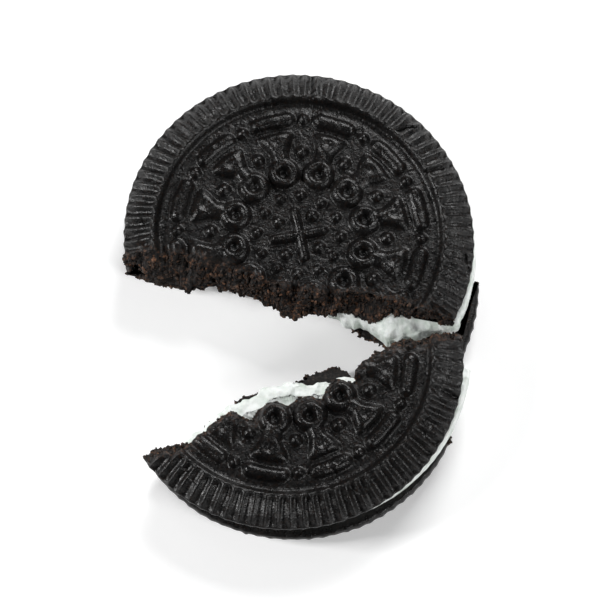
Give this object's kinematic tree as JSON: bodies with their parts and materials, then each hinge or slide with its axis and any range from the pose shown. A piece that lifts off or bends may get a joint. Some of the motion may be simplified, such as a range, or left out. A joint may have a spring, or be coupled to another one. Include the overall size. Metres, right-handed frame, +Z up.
{
  "type": "chocolate sandwich cookie",
  "caption": "Round cocoa sandwich cookie with a white cream layer and a moulded wafer pattern, snapped across and opened like a jaw.",
  "frame": {"origin": "centre of the bounding box in plan, at the height of the surface the cookie lies on", "axes": "+Z up through the layers, +Y from the small half towards the large half, +X towards the side where the halves touch"},
  "size_m": [0.045, 0.0604, 0.0089],
  "materials": {
    "wafer": "baked cocoa wafer: near-black brown, finely grained, with a slight greasy sheen on the raised parts",
    "cream": "vanilla cream: cool white, soft and slightly translucent, with a satin surface"
  },
  "bodies": {
    "root": {"wafer_top_large": "wafer", "wafer_top_small": "wafer", "cream_large": "cream", "cream_small": "cream", "wafer_base_large": "wafer", "wafer_base_small": "wafer", "wafer_base_chip": "wafer"}
  },
  "joints": []
}
